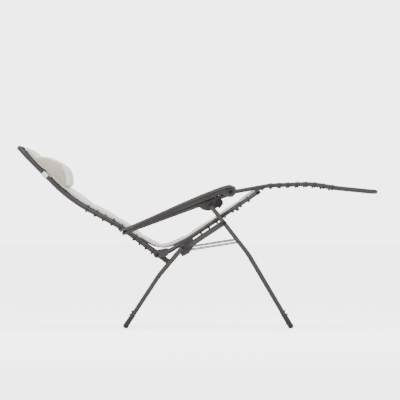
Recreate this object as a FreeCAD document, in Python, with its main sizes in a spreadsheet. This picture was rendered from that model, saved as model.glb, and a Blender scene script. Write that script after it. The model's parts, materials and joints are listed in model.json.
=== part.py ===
import FreeCAD, Part
import math
import os

# A zero gravity recliner: two crossed leg frames, a seat, a back and a leg rest that hinge on
# each other through the armrests, a sling of padded fabric and a head pillow.
# Millimetres. +X points from the head to the feet, +Z up, and the origin is on the floor,
# midway between the sides. The sitter's right side is -Y.

doc = FreeCAD.newDocument("zero_gravity_recliner")
sheet = doc.addObject("Spreadsheet::Sheet", "Dimensions")

SIZES = {
    # tubes: outer radius and wall
    "leg_tube_radius": 10.0,
    "frame_tube_radius": 9.5,
    "tube_wall": 1.2,
    "floor_bend": 45.0,
    "back_bend": 48.0,
    "crossbar_radius": 8.0,
    # distance of each part's middle plane from the chair's middle
    "front_leg_side": 330.0,
    "rear_leg_side": 303.0,
    "seat_side": 270.0,
    "back_side": 246.0,
    "rail_side": 300.0,
    # bolts, plates and running fits
    "bolt_radius": 4.0,
    "running_gap": 0.05,
    "head_radius": 8.0,
    "head_height": 4.0,
    "plate_thickness": 3.0,
    "spacer_radius": 8.0,
    # feet
    "foot_radius": 13.0,
    "foot_sleeve_radius": 11.4,
    "foot_length": 46.0,
    # link bar beside the rear legs
    "link_height": 22.0,
    "link_thickness": 20.0,
    # armrests
    "cap_inner": 290.0,
    "cap_outer": 346.0,
    "web_inner": 289.0,
    "web_outer": 314.5,
    # sliding locks
    "housing_inner": 282.0,
    "housing_outer": 318.5,
    "lever_thickness": 17.0,
    "lever_pin_radius": 3.0,
    # wire stay loops
    "wire_radius": 2.4,
    "loop_half_gap": 7.0,
    # padded sling
    "sling_half_width": 231.0,
    "back_sling_low": 12.0,
    "back_sling_high": 35.0,
    "seat_sling_low": -3.0,
    "seat_sling_high": 19.5,
    "leg_sling_low": -8.0,
    "leg_sling_high": 9.0,
    # lacing clips
    "clip_radius": 13.5,
    "clip_length": 10.0,
    "clip_gap": 0.3,
    "clip_hook_radius": 4.0,
    # head pillow
    "pillow_half_width": 262.0,
    "pillow_rest": 38.0,
    "pillow_flap": 15.5,
    "strap_width": 29.0,
    "strap_radius": 12.2,
    "strap_bore": 10.6,
}
for row, (name, value) in enumerate(SIZES.items(), start=1):
    sheet.set(f"A{row}", name)
    sheet.set(f"B{row}", str(value))
    sheet.setAlias(f"B{row}", name)
doc.recompute()


def size(name):
    return float(sheet.get(name))


# Hinge centres in the side view, (x, z), with the chair fully reclined.
CROSSING = (121.0, 481.0)
LOCK_PIVOT = (57.0, 563.0)
SEAT_PIVOT = (-66.0, 370.0)
BACK_HINGE = (-184.0, 337.0)
ARM_REAR = (-330.0, 445.0)
ARM_FRONT = (151.0, 620.0)
KNEE_HINGE = (273.0, 619.0)
LOOP_REAR = (-43.0, 362.0)
LOOP_FRONT = (180.0, 397.0)
LEVER_PIVOT = (95.0, 572.0)


def beyond(near, far, distance):
    """The point at a distance past near, in line from far."""
    run = math.hypot(near[0] - far[0], near[1] - far[1])
    return (near[0] + (near[0] - far[0]) / run * distance, near[1] + (near[1] - far[1]) / run * distance)


# Centrelines in the side view: corner points, and the bend radius at each inner corner.
TUBE_END = 12.0
REAR_KNEE = (-177.0, 239.0)
REAR_LEG = [beyond(SEAT_PIVOT, REAR_KNEE, TUBE_END), REAR_KNEE, (-326.0, 12.5)]
REAR_LEG_BENDS = [400.0]
FRONT_KNEE = (233.0, 337.5)
FRONT_LEG = [beyond(LOCK_PIVOT, FRONT_KNEE, TUBE_END), FRONT_KNEE, (424.5, 12.5)]
FRONT_LEG_BENDS = [300.0]
BACK = [(-132.0, 299.0), (-353.0, 461.8), (-585.0, 588.0), (-775.0, 779.6), (-813.0, 822.0)]
BACK_BENDS = [500.0, 700.0, 120.0]
SEAT_HEEL = (-128.0, 350.0)
SEAT = [beyond(BACK_HINGE, SEAT_HEEL, TUBE_END), SEAT_HEEL, beyond(KNEE_HINGE, SEAT_HEEL, TUBE_END)]
SEAT_BENDS = [110.0]
THIGH = (330.0, 652.0)
LEG_REST = [beyond(ARM_FRONT, THIGH, TUBE_END), THIGH, (520.0, 660.0), (640.0, 640.0), (815.0, 622.8)]
LEG_REST_BENDS = [400.0, 450.0, 500.0]
RAIL = [(-322.0, 441.0), (146.0, 612.7)]


# ---------------------------------------------------------------- geometry helpers

def vec(point, side=0.0):
    return FreeCAD.Vector(point[0], side, point[1])


def rounded_edges(corners, bends):
    """Straight runs joined by tangent arcs, one bend radius for each inner corner."""
    edges = []
    start = corners[0]
    for i, bend in enumerate(bends, start=1):
        corner = corners[i]
        back_way = (corners[i - 1] - corner).normalize()
        next_way = (corners[i + 1] - corner).normalize()
        half = back_way.getAngle(next_way) / 2
        reach = bend / math.tan(half)
        first = corner + back_way * reach
        last = corner + next_way * reach
        inward = (back_way + next_way).normalize()
        middle = corner + inward * (bend / math.sin(half) - bend)
        if (first - start).Length > 1e-6:
            edges.append(Part.LineSegment(start, first))
        edges.append(Part.Arc(first, middle, last))
        start = last
    edges.append(Part.LineSegment(start, corners[-1]))
    return edges


def offset_corners(points, distance):
    """The polyline moved sideways by distance, to the left of its direction."""
    moved = []
    for i, point in enumerate(points):
        ways = []
        for a, b in ((i - 1, i), (i, i + 1)):
            if a >= 0 and b < len(points):
                dx = points[b][0] - points[a][0]
                dz = points[b][1] - points[a][1]
                run = math.hypot(dx, dz)
                ways.append((-dz / run, dx / run))
        nx = sum(w[0] for w in ways)
        nz = sum(w[1] for w in ways)
        scale = 2.0 / (nx * nx + nz * nz) if len(ways) == 2 else 1.0
        moved.append((point[0] + nx * scale * distance, point[1] + nz * scale * distance))
    return moved


def turns_left(points, i):
    ax = points[i][0] - points[i - 1][0]
    az = points[i][1] - points[i - 1][1]
    bx = points[i + 1][0] - points[i][0]
    bz = points[i + 1][1] - points[i][1]
    return ax * bz - az * bx > 0


def band_edges(points, bends, low, high):
    """Closed outline of a band that follows a centreline, from offset low to offset high."""
    def side(distance):
        corners = [vec(p) for p in offset_corners(points, distance)]
        radii = [b - distance if turns_left(points, i) else b + distance
                 for i, b in enumerate(bends, start=1)]
        return rounded_edges(corners, radii)
    lower = side(low)
    upper = side(high)
    ends = [Part.LineSegment(lower[-1].EndPoint, upper[-1].EndPoint),
            Part.LineSegment(lower[0].StartPoint, upper[0].StartPoint)]
    return lower + upper + ends


def place_on(points, bends, distance):
    """The point and direction at a distance along a rounded centreline."""
    for edge in rounded_edges([vec(p) for p in points], bends):
        shape = edge.toShape()
        if distance <= shape.Length:
            parameter = shape.getParameterByLength(distance)
            return shape.valueAt(parameter), shape.tangentAt(parameter)
        distance -= shape.Length
    return shape.valueAt(shape.LastParameter), shape.tangentAt(shape.LastParameter)


# ---------------------------------------------------------------- document objects

def bind(obj, **cells):
    for prop, cell in cells.items():
        obj.setExpression(prop, cell)
    return obj


def add(kind, name):
    return doc.addObject(kind, name)


def cylinder_y(name, centre, low, high, radius):
    """A cylinder along Y from low to high, its radius bound to the sheet."""
    obj = add("Part::Cylinder", name)
    obj.Height = high - low
    obj.Placement = FreeCAD.Placement(vec(centre, low), FreeCAD.Rotation(FreeCAD.Vector(1, 0, 0), -90))
    return bind(obj, Radius=radius)


def cut(name, base, *tools):
    result = base
    for i, tool in enumerate(tools):
        step = add("Part::Cut", f"{name}_cut{i}")
        step.Base = result
        step.Tool = tool
        result = step
    return result


def fuse(name, *pieces):
    obj = add("Part::MultiFuse", f"{name}_fused")
    obj.Shapes = list(pieces)
    return obj


def mirrored(name, source):
    obj = add("Part::Mirroring", f"{name}_mirror")
    obj.Source = source
    obj.Normal = FreeCAD.Vector(0, 1, 0)
    return obj


def pair(label, right):
    """A node of two separate solids, one on each side of the chair."""
    obj = add("Part::Compound", label)
    obj.Links = [right, mirrored(label, right)]
    return publish(label, obj)


NODES = []


def publish(label, obj):
    obj.Label = label
    NODES.append((label, obj))
    return obj


def publish_sides(label, right):
    publish(f"{label}_left", mirrored(label, right))
    return publish(f"{label}_right", right)


def body_prism(name, edges, low, high):
    """A PartDesign body: a side-view outline padded from y = low to y = high."""
    body = add("PartDesign::Body", name + "_body")
    sketch = body.newObject("Sketcher::SketchObject", name + "_sketch")
    plane = next(f for f in body.Origin.OriginFeatures if f.Role == "XZ_Plane")
    sketch.AttachmentSupport = [(plane, "")]
    sketch.MapMode = "FlatFace"
    flat = FreeCAD.Matrix()
    flat.rotateX(-math.pi / 2)
    for edge in edges:
        copy = edge.copy()
        copy.transform(flat)
        sketch.addGeometry(copy, False)
    pad = body.newObject("PartDesign::Pad", name + "_pad")
    pad.Profile = sketch
    pad.Midplane = True
    pad.Length = abs(high - low)
    body.Placement.Base = FreeCAD.Vector(0, (low + high) / 2, 0)
    return body, pad


def prism(name, edges, low, high):
    return body_prism(name, edges, low, high)[0]


def polygon(points, bends=None):
    """A closed outline, each corner rounded by its bend (0 leaves it sharp)."""
    count = len(points)
    corners = [vec(p) for p in points]
    bends = bends or [0.0] * count
    edges = []
    ends = []
    for i in range(count):
        corner = corners[i]
        back_way = (corners[i - 1] - corner).normalize()
        next_way = (corners[(i + 1) % count] - corner).normalize()
        if bends[i] <= 0:
            ends.append((corner, corner))
            continue
        half = back_way.getAngle(next_way) / 2
        reach = bends[i] / math.tan(half)
        first = corner + back_way * reach
        last = corner + next_way * reach
        inward = (back_way + next_way).normalize()
        middle = corner + inward * (bends[i] / math.sin(half) - bends[i])
        edges.append(Part.Arc(first, middle, last))
        ends.append((first, last))
    for i in range(count):
        a = ends[i][1]
        b = ends[(i + 1) % count][0]
        if (b - a).Length > 1e-6:
            edges.append(Part.LineSegment(a, b))
    return edges


def link_outline(a, b, radius):
    """Two half circles joined by straight sides: a strap with rounded ends."""
    along = (vec(b) - vec(a)).normalize()
    across = FreeCAD.Vector(-along.z, 0, along.x) * radius
    p, q = vec(a), vec(b)
    return [
        Part.LineSegment(p + across, q + across),
        Part.Arc(q + across, q + along * radius, q - across),
        Part.LineSegment(q - across, p - across),
        Part.Arc(p - across, p - along * radius, p + across),
    ]


def sweep(name, corners, bends, radius):
    """A round bar along a path of runs and arcs, its radius bound to the sheet."""
    path = add("Part::Feature", name + "_path")
    path.Shape = Part.Wire([e.toShape() for e in rounded_edges(corners, bends)])
    ring = add("Part::Circle", name + "_section")
    bind(ring, Radius=radius)
    along = (corners[1] - corners[0]).normalize()
    ring.Placement = FreeCAD.Placement(corners[0], FreeCAD.Rotation(FreeCAD.Vector(0, 0, 1), along))
    doc.recompute([path, ring])
    bar = add("Part::Sweep", name + "_bar")
    bar.Sections = [ring]
    bar.Spine = (path, [f"Edge{i + 1}" for i in range(len(path.Shape.Edges))])
    bar.Solid = True
    bar.Frenet = False
    return bar


def tube(name, corners, bends, radius):
    """A hollow tube: the bar along the path less the bore along the same path."""
    outer = sweep(name + "_outer", corners, bends, f"Dimensions.{radius}")
    inner = sweep(name + "_inner", corners, bends, f"Dimensions.{radius} - Dimensions.tube_wall")
    return cut(name, outer, inner)


def loop_corners(side_points, side):
    """The corners of a U-shaped frame: down one side, across, and back up the other."""
    right = [vec(p, -side) for p in side_points]
    left = [vec(p, side) for p in reversed(side_points)]
    return right + left


def u_frame(name, side_points, bends, corner_bend, side, radius):
    every = bends + [corner_bend, corner_bend] + bends[::-1]
    return tube(name, loop_corners(side_points, side), every, radius)


HOLE = "Dimensions.bolt_radius + Dimensions.running_gap"
REACH = 400.0


def bolt_holes(name, *centres):
    return [cylinder_y(f"{name}_hole{i}", c, -REACH, REACH, HOLE) for i, c in enumerate(centres)]


def screw(name, centre, inner, outer):
    """A screw along Y on the right side: shank from inner to outer, domed head outside."""
    shank = cylinder_y(name + "_shank", centre, -outer, -inner, "Dimensions.bolt_radius")
    head = cylinder_y(name + "_head", centre, -outer - size("head_height"), -outer, "Dimensions.head_radius")
    dome = add("Part::Sphere", name + "_dome")
    dome.Placement.Base = vec(centre, -outer - size("head_height") + 6.0)
    bind(dome, Radius="Dimensions.head_radius")
    rounded = add("Part::MultiCommon", name + "_rounded")
    rounded.Shapes = [head, dome]
    return fuse(name, shank, rounded)


def bolt(name, centre, inner, outer):
    """A screw with a nut on its inner end."""
    nut = cylinder_y(name + "_nut", centre, -inner, -inner + size("head_height"), "Dimensions.head_radius - 1.5")
    return fuse(name + "_nut", screw(name, centre, inner, outer), nut)


def spacer(name, centre, inner, outer):
    """A sleeve along Y on the right side, bored for its bolt."""
    sleeve = cylinder_y(name + "_sleeve", centre, -outer, -inner, "Dimensions.spacer_radius")
    return cut(name, sleeve, *bolt_holes(name, centre))


# ---------------------------------------------------------------- leg frames

def make_legs():
    rear_side = size("rear_leg_side")
    front_side = size("front_leg_side")
    floor_bend = size("floor_bend")
    rear = u_frame("rear_leg", REAR_LEG, REAR_LEG_BENDS, floor_bend, rear_side, "leg_tube_radius")
    publish("rear_leg_frame", cut("rear_leg_drill", rear, *bolt_holes("rear_leg", SEAT_PIVOT)))
    front = u_frame("front_leg", FRONT_LEG, FRONT_LEG_BENDS, floor_bend, front_side, "leg_tube_radius")
    holes = bolt_holes("front_leg", LOCK_PIVOT, CROSSING)
    publish("front_leg_frame", cut("front_leg_drill", front, *holes))


def foot(name, side_points, side):
    """A moulded shoe: a slim sleeve round the floor bend, a thicker tread under the bar and a small lug."""
    floor_bend = size("floor_bend")
    corner = vec(side_points[-1], -side)
    up = (vec(side_points[-2], -side) - corner).normalize()
    inward = FreeCAD.Vector(0, 1, 0)
    reach = size("foot_length") + floor_bend * 0.35
    ends = [corner + up * reach, corner, corner + inward * reach]
    shell = sweep(name + "_shell", ends, [floor_bend], "Dimensions.foot_sleeve_radius")
    bar = [corner + inward * (floor_bend + 1.0), corner + inward * (reach + 30.0)]
    tread = sweep(name + "_tread", bar, [], "Dimensions.foot_radius")
    bore = sweep(name + "_bore", [ends[0], corner, bar[1]], [floor_bend], "Dimensions.leg_tube_radius")
    lug = add("Part::Cylinder", name + "_lug")
    lug.Radius = 4.0
    lug.Height = 9.0
    outward = FreeCAD.Vector(-up.z, 0, up.x) * (-1 if up.x < 0 else 1)
    lug.Placement = FreeCAD.Placement(corner + up * (reach - 7.0) + outward * 7.5,
                                      FreeCAD.Rotation(FreeCAD.Vector(0, 0, 1), outward))
    below = add("Part::Box", name + "_floor")
    below.Length = 2 * REACH
    below.Width = 2 * REACH
    below.Height = REACH
    below.Placement.Base = FreeCAD.Vector(corner.x - REACH, -REACH, -REACH)
    return cut(name, fuse(name, shell, tread, lug), bore, below)


def make_feet():
    pair("rear_feet", foot("rear_foot", REAR_LEG, size("rear_leg_side")))
    pair("front_feet", foot("front_foot", FRONT_LEG, size("front_leg_side")))


def make_links():
    """The bar from the top of each rear leg to the crossing, and the gusset that joins them."""
    side = size("rear_leg_side")
    half = size("link_thickness") / 2
    start = (-26.0, 383.7)
    outline = link_outline(start, CROSSING, size("link_height") / 2)
    bar = prism("link_bar", outline, -side - half, -side + half)
    pair("rear_link_bars", cut("link_bar_drill", bar, *bolt_holes("link_bar", CROSSING)))
    tube_face = side - size("leg_tube_radius")
    shape = [(-88.0, 362.0), (-70.0, 327.0), (-38.0, 343.0), (-18.0, 372.0), (-28.0, 392.0), (-62.0, 388.0)]
    plate = prism("gusset", polygon(shape, [6.0, 7.0, 8.0, 8.0, 6.0, 8.0]),
                  -tube_face, -tube_face + size("plate_thickness"))
    pair("rear_leg_gussets", cut("gusset_drill", plate, *bolt_holes("gusset", SEAT_PIVOT, LOOP_REAR)))


def make_crossing_bolts():
    side = size("rear_leg_side")
    inner = side - size("link_thickness") / 2
    outer = size("front_leg_side") + size("leg_tube_radius")
    pair("crossing_bolts", bolt("crossing_bolt", CROSSING, inner, outer))
    pair("crossing_spacers", spacer("crossing_spacer", CROSSING, side + size("link_thickness") / 2 + 0.3,
                                    size("front_leg_side") - size("leg_tube_radius")))


# ---------------------------------------------------------------- seat, back and leg rest

def coped_bar(name, point, side, frame_bar):
    """A cross tube between the side tubes, closed at its ends, which are shaped to fit against them."""
    ends = [vec(point, -side), vec(point, side)]
    hollow = [vec(point, -side + 14.0), vec(point, side - 14.0)]
    outer = sweep(name + "_outer", ends, [], "Dimensions.crossbar_radius")
    inner = sweep(name + "_inner", hollow, [], "Dimensions.crossbar_radius - Dimensions.tube_wall")
    return cut(name, outer, inner, frame_bar)


def make_seat():
    side = size("seat_side")
    rail = tube("seat_rail", [vec(p, -side) for p in SEAT], SEAT_BENDS, "frame_tube_radius")
    drilled = cut("seat_rail_drill", rail, *bolt_holes("seat_rail", BACK_HINGE, KNEE_HINGE))
    publish_sides("seat_rail", drilled)
    solid = sweep("seat_rail_solid", [vec(p, -side) for p in SEAT], SEAT_BENDS, "Dimensions.frame_tube_radius")
    solids = fuse("seat_rail_pair", solid, mirrored("seat_rail_solid", solid))
    publish("seat_front_crossbar", coped_bar("seat_front_bar", (182.9, 542.6), side, solids))
    publish("seat_rear_crossbar", coped_bar("seat_rear_bar", (-50.6, 386.0), side, solids))
    face = side + size("frame_tube_radius")
    plate = prism("seat_plate", polygon([(-84.0, 372.0), (-66.0, 350.0), (-46.0, 362.0), (-18.0, 408.0),
                                         (-36.0, 420.0), (-80.0, 392.0)], [8.0, 10.0, 8.0, 6.0, 6.0, 6.0]),
                  -face - size("plate_thickness"), -face)
    pair("seat_pivot_brackets", cut("seat_plate_drill", plate, *bolt_holes("seat_plate", SEAT_PIVOT)))
    hinge_plate = prism("hinge_plate", link_outline(BACK_HINGE, (-146.0, 345.0), 16.0),
                        -face - size("plate_thickness"), -face)
    pair("back_hinge_plates", cut("hinge_plate_drill", hinge_plate, *bolt_holes("hinge_plate", BACK_HINGE)))


def make_back():
    side = size("back_side")
    frame = u_frame("back", BACK, BACK_BENDS, size("back_bend"), side, "frame_tube_radius")
    publish("back_frame", cut("back_drill", frame, *bolt_holes("back", BACK_HINGE, ARM_REAR)))
    right = sweep("back_solid", [vec(p, -side) for p in BACK], BACK_BENDS, "Dimensions.frame_tube_radius")
    solids = fuse("back_pair", right, mirrored("back_solid", right))
    publish("back_lower_crossbar", coped_bar("back_lower_bar", (-141.0, 305.6), side, solids))


def make_leg_rest():
    side = size("back_side")
    frame = u_frame("leg_rest", LEG_REST, LEG_REST_BENDS, size("floor_bend"), side, "frame_tube_radius")
    publish("leg_rest_frame", cut("leg_rest_drill", frame, *bolt_holes("leg_rest", ARM_FRONT)))
    face = side + size("frame_tube_radius")
    plate = prism("knee_plate", link_outline(KNEE_HINGE, (273.0, 640.0), 11.0),
                  -face - size("plate_thickness"), -face)
    pair("knee_brackets", cut("knee_plate_drill", plate, *bolt_holes("knee_plate", KNEE_HINGE)))
    pair("arm_front_spacers", spacer("arm_front_spacer", ARM_FRONT, face, size("web_inner") - 0.5))


def make_pivot_bolts():
    """The bolts on which the seat, back, arms and leg rest turn."""
    seat_outer = size("seat_side") + size("frame_tube_radius")
    back_inner = size("back_side") - size("frame_tube_radius")
    back_outer = size("back_side") + size("frame_tube_radius")
    thick = size("plate_thickness")
    gap = 0.3
    leg_outer = size("rear_leg_side") + size("leg_tube_radius")
    pair("seat_pivot_bolts", bolt("seat_pivot_bolt", SEAT_PIVOT, seat_outer - gap, leg_outer + gap))
    pair("back_pivot_bolts", bolt("back_pivot_bolt", BACK_HINGE, back_inner - gap, seat_outer + thick + gap))
    pair("knee_pivot_bolts", bolt("knee_pivot_bolt", KNEE_HINGE, back_outer - gap, seat_outer + gap))
    pair("arm_rear_bolts", bolt("arm_rear_bolt", ARM_REAR, back_inner - gap, size("web_outer") + gap))
    pair("arm_rear_spacers", spacer("arm_rear_spacer", ARM_REAR, back_outer + 0.1, size("web_inner") - 0.1))
    pair("arm_front_bolts", screw("arm_front_bolt", ARM_FRONT, size("web_inner") + 1.0, size("web_outer") + gap))


# ---------------------------------------------------------------- armrests and locks

CAP_TOP = [(-359.0, 446.0), (-216.0, 508.0), (-77.0, 571.0), (14.0, 610.0), (105.0, 645.5),
           (146.0, 656.0), (172.0, 646.0), (178.5, 627.0)]
SEAM = [(170.0, 627.0), (160.0, 640.0), (140.0, 641.5), (100.0, 630.0), (14.0, 596.0),
        (-77.0, 558.5), (-216.0, 497.5), (-316.0, 452.5), (-350.0, 438.5)]
SEAM_BENDS = [2.0, 8.0, 12.0, 30.0, 100.0, 100.0, 100.0, 100.0, 3.0]
CAP_BENDS = [5.5, 200.0, 200.0, 200.0, 80.0, 22.0, 14.0, 3.0] + SEAM_BENDS
CAP_EDGE = 3.0
WEB_UNDERSIDE = [(-345.5, 438.4), (-341.0, 424.0), (-316.0, 429.0), (-298.0, 439.0), (-292.0, 453.5),
                 (112.0, 611.5), (127.0, 603.0)]
WEB_NOSE = [(175.5, 598.5), (175.5, 626.8), (169.4, 626.8)]


def make_armrests():
    """A moulded cap over a web that runs from the rear block to the front boss."""
    cap = prism("cap", polygon(CAP_TOP + SEAM, CAP_BENDS), -size("cap_outer"), -size("cap_inner"))
    doc.recompute()
    rounded = add("Part::Fillet", "cap_fillet")
    rounded.Base = cap
    rounded.Edges = [(i + 1, CAP_EDGE, CAP_EDGE) for i, e in enumerate(cap.Shape.Edges)
                     if is_top_edge(e)]
    bolt_pocket = cylinder_y("cap_pocket", ARM_REAR, -size("web_outer") - 10.0, -size("cap_inner") + 1.0,
                             "Dimensions.head_radius + 1.5")
    socket = sweep("rail_socket", [vec(p, -size("rail_side")) for p in RAIL], [], "Dimensions.frame_tube_radius")
    publish_sides("armrest_cap", cut("cap_pocketed", rounded, bolt_pocket, socket))
    gap = 0.2
    seam_under = [(x, z - gap) for x, z in SEAM[1:]]
    web_points = WEB_UNDERSIDE + WEB_NOSE + seam_under[:-1]
    web_bends = [3.0, 7.0, 5.0, 4.0, 3.0, 5.0, 5.0, 23.0, 1.5, 0.0] + SEAM_BENDS[1:-1]
    web = prism("web", polygon(web_points, web_bends), -size("web_outer"), -size("web_inner"))
    drilled = cut("web_drill", web, socket, *bolt_holes("web", ARM_REAR, ARM_FRONT))
    publish_sides("armrest_bracket", drilled)
    rail = tube("arm_rail", [vec(p, -size("rail_side")) for p in RAIL], [], "frame_tube_radius")
    publish_sides("arm_rail", cut("arm_rail_drill", rail, *bolt_holes("arm_rail", ARM_REAR, ARM_FRONT)))


def is_top_edge(edge):
    """The long outer edges of the cap's upper face, which are rounded for the hand."""
    box = edge.BoundBox
    if box.YLength > 1e-3:
        return False
    middle = edge.valueAt((edge.FirstParameter + edge.LastParameter) / 2)
    return on_line(middle, CAP_TOP)


def on_line(point, corners):
    for a, b in zip(corners, corners[1:]):
        run = math.hypot(b[0] - a[0], b[1] - a[1])
        away = abs((point.x - a[0]) * (b[1] - a[1]) - (point.z - a[1]) * (b[0] - a[0])) / run
        along = ((point.x - a[0]) * (b[0] - a[0]) + (point.z - a[1]) * (b[1] - a[1])) / run
        if away < 4.0 and -1.0 < along < run + 1.0:
            return True
    return False


def make_locks():
    """Each lock is a cradle that slides along the rail, with a cam lever at its front."""
    inner = size("housing_inner")
    outer = size("housing_outer")
    shape = [(8.0, 552.0), (22.0, 541.0), (48.0, 535.5), (74.0, 541.0), (98.0, 556.0), (112.0, 571.0),
             (107.0, 601.0), (-4.0, 560.0)]
    cradle = prism("cradle", polygon(shape, [4.0, 14.0, 20.0, 14.0, 12.0, 8.0, 2.0, 2.0]), -outer, -inner)
    radius = size("frame_tube_radius")
    lower = offset_corners(RAIL, -radius - 0.4)
    upper = offset_corners(RAIL, radius + 30.0)
    channel = prism("channel", polygon([lower[0], lower[1], upper[1], upper[0]]),
                    -size("rail_side") - radius - 0.4, -size("rail_side") + radius + 0.4)
    pin = "Dimensions.lever_pin_radius"
    pin_hole = cylinder_y("cradle_pin_hole", LEVER_PIVOT, -REACH, REACH, pin)
    holes = bolt_holes("cradle", LOCK_PIVOT)
    publish_sides("lock_housing", cut("cradle_shape", cradle, channel, pin_hole, *holes))
    lever_inner = outer + 0.3
    thick = size("lever_thickness")
    lever_shape = [(83.0, 577.0), (100.0, 593.0), (116.0, 583.0), (117.0, 568.0), (101.0, 546.0), (85.0, 558.0)]
    lever = prism("lever", polygon(lever_shape, [5.0, 5.0, 5.0, 5.0, 4.0, 4.0]),
                  -lever_inner - thick, -lever_inner)
    hole = cylinder_y("lever_hole", LEVER_PIVOT, -REACH, REACH, pin + " + Dimensions.running_gap")
    publish_sides("lock_lever", cut("lever_drill", lever, hole))
    shank = cylinder_y("lever_pin_shank", LEVER_PIVOT, -lever_inner - thick - 0.3, -inner, pin)
    head = cylinder_y("lever_pin_head", LEVER_PIVOT, -lever_inner - thick - 2.3, -lever_inner - thick - 0.3,
                      pin + " + 2.5")
    pair("lever_pins", fuse("lever_pin", shank, head))
    leg_outer = size("front_leg_side") + size("leg_tube_radius")
    pair("lock_pivot_bolts", bolt("lock_pivot_bolt", LOCK_PIVOT, inner - 0.3, leg_outer + 0.3))


# ---------------------------------------------------------------- wire stay loops

def make_stay_loops():
    """A long wire loop on each side that stops the legs from opening too far."""
    side = size("rear_leg_side") - size("leg_tube_radius") - 8.0
    half = size("loop_half_gap")
    a, b = vec(LOOP_REAR, -side), vec(LOOP_FRONT, -side)
    along = (b - a).normalize()
    across = FreeCAD.Vector(-along.z, 0, along.x) * half
    edges = [
        Part.LineSegment(a + across, b + across),
        Part.Arc(b + across, b + along * half, b - across),
        Part.LineSegment(b - across, a - across),
        Part.Arc(a - across, a - along * half, a + across),
    ]
    path = add("Part::Feature", "stay_loop_path")
    path.Shape = Part.Wire([e.toShape() for e in edges])
    ring = add("Part::Circle", "stay_loop_section")
    bind(ring, Radius="Dimensions.wire_radius")
    ring.Placement = FreeCAD.Placement(a + across, FreeCAD.Rotation(FreeCAD.Vector(0, 0, 1), along))
    doc.recompute([path, ring])
    wire = add("Part::Sweep", "stay_loop_wire")
    wire.Sections = [ring]
    wire.Spine = (path, ["Edge1", "Edge2", "Edge3", "Edge4"])
    wire.Solid = True
    publish_sides("stay_loop", wire)
    stud_room = size("loop_half_gap") - size("wire_radius") - 0.05
    face = size("rear_leg_side") - size("leg_tube_radius")
    rear = add("Part::Cylinder", "rear_stud")
    rear.Radius = stud_room
    rear.Height = face - size("plate_thickness") - side + 2.0
    rear.Placement = FreeCAD.Placement(vec(LOOP_REAR, -face + size("plate_thickness")),
                                       FreeCAD.Rotation(FreeCAD.Vector(1, 0, 0), -90))
    pair("rear_loop_studs", rear)
    front = add("Part::Cylinder", "front_stud")
    front.Radius = stud_room
    leg_face = size("front_leg_side") - size("leg_tube_radius")
    front.Height = leg_face - side - size("wire_radius") - 0.4
    front.Placement = FreeCAD.Placement(vec(LOOP_FRONT, -leg_face), FreeCAD.Rotation(FreeCAD.Vector(1, 0, 0), -90))
    pair("front_loop_studs", front)


# ---------------------------------------------------------------- sling, clips and pillow

def trim(points, start, stop):
    """Part of a polyline, from distance start to distance stop along it."""
    kept = []
    travelled = 0.0
    for a, b in zip(points, points[1:]):
        run = math.hypot(b[0] - a[0], b[1] - a[1])
        for mark in (start, stop):
            if travelled <= mark <= travelled + run:
                part = (mark - travelled) / run
                kept.append((a[0] + (b[0] - a[0]) * part, a[1] + (b[1] - a[1]) * part))
        travelled += run
        if start < travelled < stop:
            kept.append(b)
    return kept


def sling(name, points, bends, low, high):
    half = size("sling_half_width")
    body, pad = body_prism(name, band_edges(points, bends, low, high), -half, half)
    pad.setExpression("Length", "2 * Dimensions.sling_half_width")
    return publish(name, body)


SLING_GAP = 1.0
BACK_SLING_START = 178.0
SEAT_SLING_START = 172.0
SEAT_SLING_STOP = 455.0
LEG_SLING_START = 196.0


def make_slings():
    """The sling's three padded lengths, and the softer lengths over the hip and the knee."""
    back_low, back_high = size("back_sling_low"), size("back_sling_high")
    seat_low, seat_high = size("seat_sling_low"), size("seat_sling_high")
    leg_low, leg_high = size("leg_sling_low"), size("leg_sling_high")
    back = list(reversed(trim(BACK, BACK_SLING_START, 842.0)))
    sling("back_sling", back, list(reversed(BACK_BENDS)), back_low, back_high)
    seat = trim(SEAT, SEAT_SLING_START, SEAT_SLING_STOP)
    sling("seat_sling", seat, [], seat_low, seat_high)
    leg = trim(LEG_REST, LEG_SLING_START, 649.0)
    sling("leg_rest_sling", leg, LEG_REST_BENDS[1:], leg_low, leg_high)

    above = trim(BACK, 30.0, BACK_SLING_START - SLING_GAP)
    back_edge = [offset_corners(list(reversed(above)), d)[0] for d in (back_low, back_high)]
    under = trim(SEAT, 80.0, SEAT_SLING_START - SLING_GAP)
    seat_edge = [offset_corners(under, d)[-1] for d in (seat_low, seat_high)]
    hip = [back_edge[1], back_edge[0], (-213.0, 378.0), (-160.0, 363.5), (-105.0, 373.0), seat_edge[0],
           seat_edge[1], (-77.0, 413.0), (-122.0, 396.0), (-163.0, 384.0), (-190.0, 390.5), (-214.0, 408.0)]
    half = size("sling_half_width")
    body, pad = body_prism("hip_sling", polygon(hip, [0, 0, 60.0, 40.0, 60.0, 0, 0, 60.0, 60.0, 30.0, 30.0, 60.0]),
                           -half, half)
    pad.setExpression("Length", "2 * Dimensions.sling_half_width")
    publish("hip_sling", body)

    thigh = trim(SEAT, 300.0, SEAT_SLING_STOP + SLING_GAP)
    thigh_edge = [offset_corners(thigh, d)[-1] for d in (seat_low, seat_high)]
    calf = trim(LEG_REST, 60.0, LEG_SLING_START - SLING_GAP)
    calf_edge = [offset_corners(calf, d)[-1] for d in (leg_low, leg_high)]
    knee = [thigh_edge[1], thigh_edge[0], (262.0, 627.0), calf_edge[0], calf_edge[1], (250.0, 643.0)]
    body, pad = body_prism("knee_sling", polygon(knee, [0, 0, 60.0, 0, 0, 60.0]), -half, half)
    pad.setExpression("Length", "2 * Dimensions.sling_half_width")
    publish("knee_sling", body)


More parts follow.
